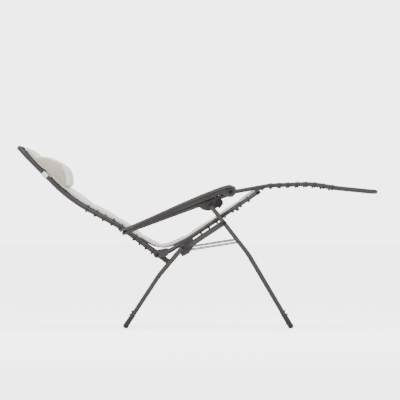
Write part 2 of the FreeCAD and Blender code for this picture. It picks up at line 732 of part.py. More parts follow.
def clip_master():
    ring = add("Part::Cylinder", "clip_ring")
    bind(ring, Radius="Dimensions.clip_radius", Height="Dimensions.clip_length")
    bore = add("Part::Cylinder", "clip_bore")
    bind(bore, Radius="Dimensions.frame_tube_radius + Dimensions.clip_gap", Height="Dimensions.clip_length")
    mouth = add("Part::Box", "clip_mouth")
    mouth.Length = 40.0
    mouth.Width = 40.0
    mouth.Height = 12.0
    mouth.Placement.Base = FreeCAD.Vector(2.0, -20.0, -1.0)
    doc.recompute([ring, bore, mouth])
    hook = add("Part::Cylinder", "clip_hook")
    bind(hook, Radius="Dimensions.clip_hook_radius", Height="Dimensions.clip_length")
    hook.Placement = FreeCAD.Placement(FreeCAD.Vector(-12.5, size("clip_length") / 2, size("clip_length") / 2),
                                       FreeCAD.Rotation(FreeCAD.Vector(0, 0, 1), FreeCAD.Vector(0, -1, 0)))
    doc.recompute([hook])
    return cut("clip", fuse("clip_body", ring, hook), bore, mouth)


def clip_group(label, master, points, bends, side, places):
    """Plastic hooks under a tube, open towards the fabric, as separate solids."""
    shapes = []
    half = size("clip_length") / 2
    for place in places:
        centre, way = place_on(points, bends, place)
        up = FreeCAD.Vector(-way.z, 0, way.x)
        if up.z < 0:
            up = up * -1
        across = way.cross(up)
        turn = FreeCAD.Matrix(up.x, across.x, way.x, 0, up.y, across.y, way.y, 0, up.z, across.z, way.z, 0)
        for side_y in (-side, side):
            shape = master.Shape.copy()
            shape.Placement = FreeCAD.Placement(turn)
            shape.Placement.Base = centre - way * half + FreeCAD.Vector(0, side_y, 0)
            shapes.append(shape)
    group = add("Part::Feature", label)
    group.Shape = Part.Compound(shapes)
    return publish(label, group)


def make_clips():
    master = clip_master()
    doc.recompute()
    below_arm = [88.5 + 34.5 * i for i in range(4)]
    above_arm = [272.0 + 43.2 * i for i in range(5)]
    clip_group("back_clips", master, BACK, BACK_BENDS, size("back_side"), below_arm + above_arm)
    seat_row = [235.5 + 44.0 * i for i in range(7)]
    clip_group("seat_clips", master, SEAT, SEAT_BENDS, size("seat_side"), seat_row)
    leg_row = [160.0 + 40.0 * i for i in range(9)]
    clip_group("leg_rest_clips", master, LEG_REST, LEG_REST_BENDS, size("back_side"), leg_row)


PILLOW_TOP = [(-716.0, 783.5), (-691.0, 782.0), (-648.0, 765.5), (-600.0, 736.0),
              (-584.0, 725.0), (-567.0, 699.0), (-565.0, 660.0), (-578.0, 645.0)]
PILLOW_TOP_BENDS = [6.0, 40.0, 120.0, 40.0, 15.0, 20.0, 12.0, 8.0]
PILLOW_LOW = -70.0
PILLOW_HIGH = 96.0


def on_upper_back(distance, height):
    """A point beside the straight upper run of the back, from a mark near its middle."""
    start, stop = BACK[2], BACK[3]
    run = math.hypot(stop[0] - start[0], stop[1] - start[1])
    ux, uz = (stop[0] - start[0]) / run, (stop[1] - start[1]) / run
    mark = 134.0 + distance
    return start[0] + ux * mark + uz * height, start[1] + uz * mark - ux * height


def make_pillow():
    """The head pillow, whose ends droop over the side tubes, and its elastic strap."""
    half = size("pillow_half_width")
    rest = size("pillow_rest")
    flap = size("pillow_flap")
    core = PILLOW_TOP + [on_upper_back(PILLOW_LOW, rest), on_upper_back(PILLOW_HIGH, rest)]
    body, pad = body_prism("pillow_core", polygon(core, PILLOW_TOP_BENDS + [8.0, 2.0]), -half, half)
    pad.setExpression("Length", "2 * Dimensions.pillow_half_width")
    droop = [on_upper_back(PILLOW_LOW + 6.0, rest + 8.0), on_upper_back(PILLOW_LOW - 4.0, flap),
             on_upper_back(PILLOW_HIGH + 12.0, flap), on_upper_back(PILLOW_HIGH - 6.0, rest + 3.0)]
    inner = size("sling_half_width") + 2.0
    side = prism("pillow_flap", polygon(droop, [3.0, 8.0, 8.0, 3.0]), -half, -inner)
    publish("head_pillow", fuse("head_pillow", body, side, mirrored("pillow_flap", side)))
    make_pillow_strap()


STRAP_MARK = 24.0


def make_pillow_strap():
    """Elastic that goes round both side tubes and across behind the sling."""
    side = size("back_side")
    wide = size("strap_width")
    base = on_upper_back(STRAP_MARK - wide / 2, 0.0)
    tip = on_upper_back(STRAP_MARK + wide / 2, 0.0)
    along = (vec(tip) - vec(base)).normalize()
    turn = FreeCAD.Rotation(FreeCAD.Vector(0, 0, 1), along)
    rings = []
    for sign in (-1, 1):
        ring = add("Part::Cylinder", "strap_ring")
        bore = add("Part::Cylinder", "strap_ring_bore")
        bind(ring, Radius="Dimensions.strap_radius", Height="Dimensions.strap_width")
        bind(bore, Radius="Dimensions.strap_bore", Height="Dimensions.strap_width")
        for piece in (ring, bore):
            piece.Placement = FreeCAD.Placement(vec(base, sign * side), turn)
        rings.append(cut("strap_ring", ring, bore))
    low = -size("strap_radius")
    high = -size("strap_bore")
    outline = polygon([on_upper_back(STRAP_MARK - wide / 2, low), on_upper_back(STRAP_MARK + wide / 2, low),
                       on_upper_back(STRAP_MARK + wide / 2, high), on_upper_back(STRAP_MARK - wide / 2, high)])
    band = prism("strap_band", outline, -side, side)
    publish("pillow_strap", fuse("pillow_strap", *rings, band))


def plug(name, centre, inward, radius):
    """A plug in a tube's end, with a cap as wide as the tube."""
    shank = add("Part::Cylinder", name + "_shank")
    bind(shank, Radius=f"Dimensions.{radius} - Dimensions.tube_wall")
    shank.Height = 7.0
    turn = FreeCAD.Rotation(FreeCAD.Vector(0, 0, 1), inward)
    shank.Placement = FreeCAD.Placement(centre, turn)
    cap = add("Part::Cylinder", name + "_cap")
    bind(cap, Radius=f"Dimensions.{radius}")
    cap.Height = 2.4
    cap.Placement = FreeCAD.Placement(centre - inward * 2.4, turn)
    return fuse(name, shank, cap)


def plugs_for(label, radius, side, *ends):
    """Plugs for tube ends given as (end point, next point), on both sides, in one node."""
    right = []
    for i, (end, following) in enumerate(ends):
        inward = (vec(following) - vec(end)).normalize()
        right.append(plug(f"{label}{i}", vec(end, -side), inward, radius))
    pieces = right + [mirrored(f"{label}{i}", p) for i, p in enumerate(right)]
    group = add("Part::Compound", label)
    group.Links = pieces
    publish(label, group)


def make_plugs():
    plugs_for("rear_leg_plugs", "leg_tube_radius", size("rear_leg_side"), REAR_LEG[:2])
    plugs_for("front_leg_plugs", "leg_tube_radius", size("front_leg_side"), FRONT_LEG[:2])
    plugs_for("seat_rail_plugs", "frame_tube_radius", size("seat_side"), SEAT[:2], (SEAT[-1], SEAT[-2]))
    plugs_for("back_frame_plugs", "frame_tube_radius", size("back_side"), BACK[:2])
    plugs_for("leg_rest_plugs", "frame_tube_radius", size("back_side"), LEG_REST[:2])


def make_top_trim():
    """A dark binding that joins the head end of the sling to the top bar."""
    centre = BACK[-1]
    half = size("sling_half_width") - 35.0
    radius = size("frame_tube_radius")
    wrap = cylinder_y("trim_wrap", centre, -half, half, "Dimensions.frame_tube_radius + 2.0")
    bore = cylinder_y("trim_bore", centre, -half, half, "Dimensions.frame_tube_radius + 0.3")
    low = offset_corners([BACK[-1], BACK[-2]], radius + 0.6)
    high = offset_corners([BACK[-1], BACK[-2]], radius + 2.0)
    reach = 26.0
    run = math.hypot(low[1][0] - low[0][0], low[1][1] - low[0][1])
    tip = [(a[0] + (b[0] - a[0]) * reach / run, a[1] + (b[1] - a[1]) * reach / run) for a, b in (low, high)]
    flap = prism("trim_flap", polygon([low[0], tip[0], tip[1], high[0]]), -half, half)
    publish("top_trim", fuse("top_trim", cut("top_trim", wrap, bore), flap))


def report_and_write():
    doc.recompute()
    failed = [o.Name for o in doc.Objects if "Invalid" in o.State or "Error" in o.State]
    if failed:
        raise RuntimeError("objects that failed: " + ", ".join(failed))
    for label, obj in NODES:
        if obj.Shape.isNull() or not obj.Shape.isValid() or not obj.Shape.Solids:
            raise RuntimeError("bad shape: " + label)
    os.makedirs("parts", exist_ok=True)
    for label, obj in NODES:
        obj.Shape.exportStep(f"parts/{label}.step")
        print(label, len(obj.Shape.Solids), round(obj.Shape.Volume / 1000.0, 2))


make_legs()
make_feet()
make_links()
make_crossing_bolts()
make_seat()
make_back()
make_leg_rest()
make_pivot_bolts()
make_armrests()
make_locks()
make_stay_loops()
make_slings()
make_clips()
make_pillow()
make_plugs()
make_top_trim()
report_and_write()
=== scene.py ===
import bpy
import bmesh
import json
import math
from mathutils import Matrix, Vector


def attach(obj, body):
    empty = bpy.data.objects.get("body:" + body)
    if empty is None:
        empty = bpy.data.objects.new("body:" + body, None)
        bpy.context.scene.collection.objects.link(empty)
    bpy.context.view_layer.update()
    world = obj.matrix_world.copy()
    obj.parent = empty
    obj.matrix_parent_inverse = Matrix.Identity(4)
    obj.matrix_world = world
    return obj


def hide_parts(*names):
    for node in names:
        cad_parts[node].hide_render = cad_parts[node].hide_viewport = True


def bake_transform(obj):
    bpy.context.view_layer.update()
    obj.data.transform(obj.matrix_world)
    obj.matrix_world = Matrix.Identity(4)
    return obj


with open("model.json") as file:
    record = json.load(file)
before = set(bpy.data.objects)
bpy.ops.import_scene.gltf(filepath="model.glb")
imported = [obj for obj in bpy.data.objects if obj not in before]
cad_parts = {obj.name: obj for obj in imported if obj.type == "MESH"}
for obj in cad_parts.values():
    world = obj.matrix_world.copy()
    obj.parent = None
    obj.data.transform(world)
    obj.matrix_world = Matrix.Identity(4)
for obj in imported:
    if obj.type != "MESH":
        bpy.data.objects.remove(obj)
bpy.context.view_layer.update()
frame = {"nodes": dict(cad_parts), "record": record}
nodes = frame["nodes"]
scene = bpy.context.scene

# Millimetre design points of the chair's centrelines, in its side view (x, z).
BACK = [(-132.0, 299.0), (-353.0, 461.8), (-585.0, 588.0), (-775.0, 779.6), (-813.0, 822.0)]
BACK_BENDS = [500.0, 700.0, 120.0]
SEAT = [(-128.0, 350.0), (273.0, 619.0)]
LEG_REST = [(151.0, 620.0), (330.0, 652.0), (520.0, 660.0), (640.0, 640.0), (815.0, 622.8)]
LEG_REST_BENDS = [400.0, 450.0, 500.0]
BACK_SIDE = 0.246
SEAT_SIDE = 0.270
MM = 0.001

# Where the sling is cut, in its side view: the hip and the knee are the hinges it bends over.
BACK_END = (-262.0, 412.0)
HIP = (-168.0, 376.0)
SEAT_START = (-52.0, 413.0)
SEAT_END = (188.0, 575.0)
KNEE = (246.0, 620.0)
LEG_START = (330.0, 648.0)

# The arm rail's ends and the front pivot of the arm, in the same view.
ARM_RAIL = [(-322.0, 441.0), (146.0, 612.7)]
ARM_FRONT = (0.151, 0.620)
ARM_FACE = 0.3145


# ---------------------------------------------------------------- camera

def make_camera():
    """A long lens at the sitter's right side, level with the middle of the chair."""
    distance = 22.0
    near_plane = 0.30
    seen_width = 1.82
    middle, eye_height = 0.0116, 0.5854
    data = bpy.data.cameras.new("side_camera")
    data.sensor_width = 36.0
    data.lens = 36.0 * (distance - near_plane) / seen_width
    data.clip_end = 200.0
    camera = bpy.data.objects.new("side_camera", data)
    camera.location = (middle, -distance, eye_height)
    camera.rotation_euler = (math.pi / 2, 0, 0)
    scene.collection.objects.link(camera)
    scene.camera = camera


# ---------------------------------------------------------------- materials

def new_material(name):
    """A material with its nodes, its links and its main shader."""
    material = bpy.data.materials.new(name)
    material.use_nodes = True
    tree = material.node_tree
    return material, tree.nodes, tree.links, tree.nodes["Principled BSDF"]


def add_node(nodes_, kind, **values):
    """A new shader node with some of its settings."""
    node = nodes_.new(kind)
    for key, value in values.items():
        setattr(node, key, value)
    return node


def noise_node(nodes_, links, vector, scale, detail=3.0):
    node = add_node(nodes_, "ShaderNodeTexNoise")
    node.inputs["Scale"].default_value = scale
    node.inputs["Detail"].default_value = detail
    links.new(vector, node.inputs["Vector"])
    return node


def ramp_node(nodes_, links, source, stops):
    """A colour ramp with the given (position, colour) stops."""
    node = add_node(nodes_, "ShaderNodeValToRGB")
    ramp = node.color_ramp
    while len(ramp.elements) < len(stops):
        ramp.elements.new(0.5)
    for element, (position, colour) in zip(ramp.elements, stops):
        element.position = position
        element.color = (*colour, 1.0)
    links.new(source, node.inputs["Fac"])
    return node


def bump_node(nodes_, links, height, strength, distance):
    node = add_node(nodes_, "ShaderNodeBump")
    node.inputs["Strength"].default_value = strength
    node.inputs["Distance"].default_value = distance
    links.new(height, node.inputs["Height"])
    return node


def shade(colour, factor):
    """The colour made darker or lighter."""
    return tuple(min(1.0, c * factor) for c in colour)


def coated_metal(name, colour, roughness=0.42, grain=900.0, metallic=0.1):
    """Powder coat: a fine orange-peel surface, slight colour drift and paler rubbed edges."""
    material, n, links, bsdf = new_material(name)
    where = add_node(n, "ShaderNodeTexCoord").outputs["Object"]
    drift = noise_node(n, links, where, 6.0)
    tint = ramp_node(n, links, drift.outputs["Fac"], [(0.3, shade(colour, 0.9)), (0.7, shade(colour, 1.1))])
    geometry = add_node(n, "ShaderNodeNewGeometry")
    edge = ramp_node(n, links, geometry.outputs["Pointiness"], [(0.53, (0, 0, 0)), (0.62, (1, 1, 1))])
    mix = add_node(n, "ShaderNodeMix", data_type="RGBA")
    links.new(edge.outputs["Color"], mix.inputs["Factor"])
    links.new(tint.outputs["Color"], mix.inputs["A"])
    mix.inputs["B"].default_value = (*shade(colour, 1.2), 1.0)
    links.new(mix.outputs["Result"], bsdf.inputs["Base Color"])
    bsdf.inputs["Metallic"].default_value = metallic
    peel = noise_node(n, links, where, grain, 2.0)
    bump = bump_node(n, links, peel.outputs["Fac"], 0.06, 0.0003)
    links.new(bump.outputs["Normal"], bsdf.inputs["Normal"])
    spread = add_node(n, "ShaderNodeMapRange")
    spread.inputs["To Min"].default_value = roughness - 0.06
    spread.inputs["To Max"].default_value = roughness + 0.08
    links.new(drift.outputs["Fac"], spread.inputs["Value"])
    links.new(spread.outputs["Result"], bsdf.inputs["Roughness"])
    bsdf.inputs["Specular IOR Level"].default_value = 0.22
    bsdf.inputs["Coat Weight"].default_value = 0.06
    bsdf.inputs["Coat Roughness"].default_value = 0.25
    return material


def moulded_plastic(name, colour, roughness=0.5, grain=1400.0, depth=0.1):
    """Moulded plastic with a fine leather-like grain and scuffed, paler edges."""
    material, n, links, bsdf = new_material(name)
    where = add_node(n, "ShaderNodeTexCoord").outputs["Object"]
    cells = add_node(n, "ShaderNodeTexVoronoi")
    cells.inputs["Scale"].default_value = grain
    links.new(where, cells.inputs["Vector"])
    broad = noise_node(n, links, where, 9.0)
    tones = [(0.25, shade(colour, 0.86)), (0.75, shade(colour, 1.14))]
    tint = ramp_node(n, links, broad.outputs["Fac"], tones)
    geometry = add_node(n, "ShaderNodeNewGeometry")
    edge = ramp_node(n, links, geometry.outputs["Pointiness"], [(0.52, (0, 0, 0)), (0.6, (1, 1, 1))])
    mix = add_node(n, "ShaderNodeMix", data_type="RGBA")
    links.new(edge.outputs["Color"], mix.inputs["Factor"])
    links.new(tint.outputs["Color"], mix.inputs["A"])
    mix.inputs["B"].default_value = (*shade(colour, 1.15), 1.0)
    links.new(mix.outputs["Result"], bsdf.inputs["Base Color"])
    bump = bump_node(n, links, cells.outputs["Distance"], depth, 0.0002)
    links.new(bump.outputs["Normal"], bsdf.inputs["Normal"])
    bsdf.inputs["Roughness"].default_value = roughness
    bsdf.inputs["Specular IOR Level"].default_value = 0.25
    return material


def woven_fabric(name, colour, dip_shade_and_tone, thread=0.0016, fuzz=0.35, depth=0.5):
    """Plain weave: warp and weft ribs, painted shade in the dips between threads, random tone and a soft
    sheen.
    """
    material, n, links, bsdf = new_material(name)
    where = add_node(n, "ShaderNodeTexCoord").outputs["UV"]
    body = add_node(n, "ShaderNodeTexCoord").outputs["Object"]
    ribs = []
    for direction in ("X", "Y"):
        wave = add_node(n, "ShaderNodeTexWave", bands_direction=direction)
        wave.inputs["Scale"].default_value = 1.0 / thread / 3.14
        wave.inputs["Distortion"].default_value = 0.35
        wave.inputs["Detail Scale"].default_value = 30.0
        links.new(where, wave.inputs["Vector"])
        ribs.append(wave)
    weave = add_node(n, "ShaderNodeMath", operation="MULTIPLY")
    links.new(ribs[0].outputs["Fac"], weave.inputs[0])
    links.new(ribs[1].outputs["Fac"], weave.inputs[1])
    broad = noise_node(n, links, body, 14.0, 4.0)
    slub = noise_node(n, links, body, 320.0, 2.0)
    blend = add_node(n, "ShaderNodeMath", operation="MULTIPLY_ADD")
    blend.inputs[1].default_value = 0.45
    links.new(weave.outputs["Value"], blend.inputs[0])
    spread = add_node(n, "ShaderNodeMath", operation="MULTIPLY_ADD")
    spread.inputs[1].default_value = 0.45
    links.new(broad.outputs["Fac"], spread.inputs[0])
    share = add_node(n, "ShaderNodeMath", operation="MULTIPLY")
    share.inputs[1].default_value = 0.35
    links.new(slub.outputs["Fac"], share.inputs[0])
    links.new(share.outputs["Value"], spread.inputs[2])
    links.new(spread.outputs["Value"], blend.inputs[2])
    # The ramp's dark end is painted shade in the dips between threads, mixed with random tone from the noise.
    tint = ramp_node(n, links, blend.outputs["Value"],
                     [(0.2, dip_shade_and_tone), (0.45, colour), (0.85, shade(colour, 1.06))])
    links.new(tint.outputs["Color"], bsdf.inputs["Base Color"])
    bump = bump_node(n, links, weave.outputs["Value"], depth, 0.0005)
    soft = bump_node(n, links, broad.outputs["Fac"], 0.25, 0.004)
    links.new(bump.outputs["Normal"], soft.inputs["Normal"])
    links.new(soft.outputs["Normal"], bsdf.inputs["Normal"])
    bsdf.inputs["Roughness"].default_value = 0.88
    bsdf.inputs["Sheen Weight"].default_value = fuzz
    bsdf.inputs["Sheen Roughness"].default_value = 0.5
    return material


CREAM = (0.86, 0.835, 0.775)
PILLOW_CREAM = (0.85, 0.81, 0.735)

MATERIALS = {
    "leg_paint": coated_metal("leg_coat", (0.050, 0.045, 0.042)),
    "frame_paint": coated_metal("frame_coat", (0.052, 0.047, 0.046)),
    "plate_paint": coated_metal("plate_coat", (0.046, 0.041, 0.044), 0.5),
    "shoe_plastic": moulded_plastic("shoe_plastic", (0.034, 0.033, 0.032), 0.55),
    "black_plastic": moulded_plastic("black_plastic", (0.010, 0.010, 0.010), 0.45),
    "bolt_steel": coated_metal("dark_bolt", (0.016, 0.016, 0.017), 0.38, 300.0, 0.3),
    "wire_steel": coated_metal("dark_wire", (0.014, 0.013, 0.013), 0.45, 500.0, 0.0),
    "arm_plastic": moulded_plastic("arm_plastic", (0.066, 0.062, 0.059), 0.48),
    "lock_plastic": moulded_plastic("lock_plastic", (0.034, 0.032, 0.031), 0.5),
    "lever_plastic": moulded_plastic("lever_plastic", (0.006, 0.006, 0.007), 0.35, 2000.0, 0.05),
    "sling_fabric": woven_fabric("sling_weave", CREAM, (0.66, 0.63, 0.57)),
    "clip_plastic": moulded_plastic("clip_plastic", (0.030, 0.027, 0.027), 0.5),
    "pillow_fabric": woven_fabric("pillow_weave", PILLOW_CREAM, (0.62, 0.57, 0.48)),
    "elastic_white": woven_fabric("elastic_weave", (0.90, 0.90, 0.89), (0.74, 0.74, 0.74), 0.0022, 0.1, 0.9),
    "trim_fabric": woven_fabric("binding_weave", (0.010, 0.010, 0.010), (0.005, 0.005, 0.005), 0.0014, 0.1),
}
# Darker tan fabric for the pillow's end panels: painted shade on the ends.
PILLOW_END_SHADE = woven_fabric("pillow_end_painted_shade", (0.50, 0.45, 0.36), (0.36, 0.32, 0.25))
CORD = woven_fabric("lacing_cord", (0.020, 0.018, 0.018), (0.010, 0.009, 0.009), 0.001, 0.1, 0.8)
# Dark fabric for the pad's underside: painted shade under the sling.
UNDERSIDE_SHADE = woven_fabric("sling_underside_painted_shade", (0.030, 0.026, 0.026), (0.014, 0.012, 0.012), 0.0018, 0.1, 0.6)
THREAD = woven_fabric("seam_thread", (0.62, 0.58, 0.50), (0.45, 0.41, 0.35), 0.0008, 0.2, 0.8)


def dress_cad_nodes():
    """Gives each CAD node the material of its slot in the record."""
    slots = {part["node"]: part["material_slot"] for part in frame["record"]["subparts"]}
    for name, obj in nodes.items():
        obj.data.materials.clear()
        obj.data.materials.append(MATERIALS[slots[name]])


# ---------------------------------------------------------------- centrelines

def arc_path(points, bends, step=4.0):
    """Points every few millimetres along straight runs joined by tangent arcs."""
    line = [Vector(points[0])]
    for i, bend in enumerate(bends, start=1):
        corner = Vector(points[i])
        back_way = (Vector(points[i - 1]) - corner).normalized()
        next_way = (Vector(points[i + 1]) - corner).normalized()
        half = back_way.angle(next_way) / 2
        reach = bend / math.tan(half)
        centre = corner + (back_way + next_way).normalized() * (bend / math.sin(half))
        first, last = corner + back_way * reach, corner + next_way * reach
        count = max(4, int(bend * (math.pi - 2 * half) / step))
        for k in range(count + 1):
            t = k / count
            spoke = (first - centre).lerp(last - centre, t).normalized()
            line.append(centre + spoke * bend)
    line.append(Vector(points[-1]))
    return line


def lengths(line):
    """The distance along a line to each of its points."""
    marks = [0.0]
    for a, b in zip(line, line[1:]):
        marks.append(marks[-1] + (b - a).length)
    return marks


def place(line, marks, s):
    """The point and unit direction at distance s along a line."""
    s = min(max(s, 0.0), marks[-1])
    for i in range(len(line) - 1):
        if marks[i + 1] >= s and marks[i + 1] > marks[i]:
            t = (s - marks[i]) / (marks[i + 1] - marks[i])
            return line[i].lerp(line[i + 1], t), (line[i + 1] - line[i]).normalized()
    return line[-1], (line[-1] - line[-2]).normalized()


def upright(way):
    """The unit normal of a direction in the side view, on its upper side."""
    normal = Vector((-way.y, way.x)).normalized()
    return normal if normal.y > 0 else -normal


def offset_run(line, start, stop, height, step=8.0):
    """Points at a height above part of a line, where height is a number or a function of distance."""
    marks = lengths(line)
    run = []
    count = max(2, int(abs(stop - start) / step))
    for k in range(count + 1):
        distance = start + (stop - start) * k / count
        point, way = place(line, marks, distance)
        run.append(point + upright(way) * (height(distance) if callable(height) else height))
    return run


def spaced(line, step):
    """The same line resampled at even spacing."""
    marks = lengths(line)
    count = round(marks[-1] / step)
    return [place(line, marks, marks[-1] * k / count)[0] for k in range(count + 1)]


def smoothed(line, rounds):
    """The line after some rounds of averaging, its ends held."""
    for _ in range(rounds):
        inner = [(a + b * 2 + c) / 4 for a, b, c in zip(line, line[1:], line[2:])]
        line = [line[0]] + inner + [line[-1]]
    return line


BACK_LINE = arc_path(BACK, BACK_BENDS)
SEAT_LINE = [Vector(p) for p in SEAT]
LEG_LINE = arc_path(LEG_REST, LEG_REST_BENDS)

# Height of the pad's top above the back frame's centreline, at distances along the frame.
BACK_TOPS = [(150.0, 33.0), (200.0, 31.5), (300.0, 36.0), (380.0, 34.5), (460.0, 36.0), (520.0, 39.5),
             (600.0, 36.5), (770.0, 37.5), (805.0, 43.0), (830.0, 40.0), (846.0, 34.0)]
BACK_UNDERSIDE = 11.5
SEAT_RISE = 9.0
LEG_RISE = 1.5
ROW_STEP = 8.0


def back_top(distance):
    """Height of the pad's top above the back frame's centreline, between the measured points."""
    for (a, low), (b, high) in zip(BACK_TOPS, BACK_TOPS[1:]):
        if distance <= b:
            return low + (high - low) * max(0.0, (distance - a) / (b - a))
    return BACK_TOPS[-1][1]


def back_rise(distance):
    """Height of the pad's middle surface above the back frame's centreline."""
    return (back_top(distance) + BACK_UNDERSIDE) / 2


def back_half(point):
    """Half the pad's thickness beside a point of its middle surface, in metres."""
    marks = lengths(BACK_LINE)
    near = min(range(len(BACK_LINE)), key=lambda k: (BACK_LINE[k] - point).length)
    return (back_top(marks[near]) - BACK_UNDERSIDE) / 2 * MM - PUFF / 2


def pad_spine():
    """The middle surface of the whole sling in the side view, from the head to the feet."""
    back = offset_run(BACK_LINE, 846.0, 150.0, back_rise)
    hip = [Vector((-200.0, 383.0)), Vector((-162.0, 368.0)), Vector((-118.0, 382.0))]
    seat = offset_run(SEAT_LINE, 118.0, 384.0, SEAT_RISE)
    knee = [Vector((223.0, 602.0)), Vector((262.0, 634.0))]
    leg = offset_run(LEG_LINE, 172.0, 637.0, LEG_RISE)
    line = smoothed(spaced(back + hip + seat + knee + leg, ROW_STEP), 14)
    return spaced(line, ROW_STEP)


def nearest_row(line, target):
    """The index of the line's point nearest to a target."""
    target = Vector(target)
    return min(range(len(line)), key=lambda i: (line[i] - target).length)


# ---------------------------------------------------------------- mesh helpers

def link_mesh(name, verts, faces, material, smooth=True):
    mesh = bpy.data.meshes.new(name)
    mesh.from_pydata(verts, [], faces)
    mesh.update()
    obj = bpy.data.objects.new(name, mesh)
    scene.collection.objects.link(obj)
    obj.data.materials.append(material)
    for polygon in mesh.polygons:
        polygon.use_smooth = smooth
    return obj


def apply_modifiers(obj):
    """Replaces the object's mesh by the one its modifiers make."""
    depsgraph = bpy.context.evaluated_depsgraph_get()
    mesh = bpy.data.meshes.new_from_object(obj.evaluated_get(depsgraph))
    old = obj.data
    obj.modifiers.clear()
    obj.data = mesh
    bpy.data.meshes.remove(old)


def subdivide(obj, levels=1):
    modifier = obj.modifiers.new("smooth", "SUBSURF")
    modifier.levels = levels
    modifier.render_levels = levels
    apply_modifiers(obj)
    for polygon in obj.data.polygons:
        polygon.use_smooth = True


def project_uv(obj, thread_axis=(1, 0, 0)):
    """UVs in metres from the two coordinates that each face faces least, for the weave."""
    mesh = obj.data
    layer = mesh.uv_layers.get("UVMap") or mesh.uv_layers.new(name="UVMap")
    along = Vector(thread_axis)
    for polygon in mesh.polygons:
        normal = polygon.normal
        first = along - normal * along.dot(normal)
        if first.length < 0.2:
            first = Vector((0, 0, 1)) - normal * normal.z
        first.normalize()
        second = normal.cross(first)
        for loop in polygon.loop_indices:
            point = mesh.vertices[mesh.loops[loop].vertex_index].co
            layer.data[loop].uv = (point.dot(first), point.dot(second))


def inflate(obj, cap, pressure, pinned=(), frames=20):
    """Blows a closed mesh up as cloth, moving no point further than cap, and applies the result."""
    rest = [v.co.copy() for v in obj.data.vertices]
    if pinned:
        group = obj.vertex_groups.new(name="held")
        group.add(list(pinned), 1.0, "REPLACE")
    modifier = obj.modifiers.new("puff", "CLOTH")
    settings = modifier.settings
    settings.quality = 5
    settings.mass = 0.25
    settings.tension_stiffness = 14.0
    settings.compression_stiffness = 14.0
    settings.shear_stiffness = 6.0
    settings.bending_stiffness = 0.6
    settings.use_pressure = True
    settings.uniform_pressure_force = pressure
    settings.effector_weights.gravity = 0.0
    if pinned:
        settings.vertex_group_mass = "held"
    modifier.point_cache.frame_start = 1
    modifier.point_cache.frame_end = frames
    for frame_number in range(1, frames + 1):
        scene.frame_set(frame_number)
    depsgraph = bpy.context.evaluated_depsgraph_get()
    moved = [v.co.copy() for v in obj.evaluated_get(depsgraph).data.vertices]
    obj.modifiers.clear()
    obj.vertex_groups.clear()
    for vertex, start, end in zip(obj.data.vertices, rest, moved):
        step = end - start
        if step.length > cap:
            step = step.normalized() * cap
        vertex.co = start + step
    scene.frame_set(1)
    obj.data.update()


# ---------------------------------------------------------------- padded sling

HALF_WIDTH = 0.229
HEM = 0.010
PUFF = 0.0025
PAD_HALF = 0.0078
HEM_HALF = 0.0022
LEG_PAD_HALF = 0.0062
COLUMNS = 58
# How fast the pad fills out beside a hem and beside a seam, and its share of the full thickness at a seam.
HEM_FADE = 0.010
SEAM_FADE = 0.012
SEAM_SHARE = 0.62
# Columns of light fabric that turn under at each side of the dark underside, which is painted shade.
TURN_UNDER = 4


def seam_rows(start, stop, panels):
    """The rows of the seams that divide a length of the sling into equal panels."""
    return [round(start + (stop - start) * k / panels) for k in range(panels + 1)]


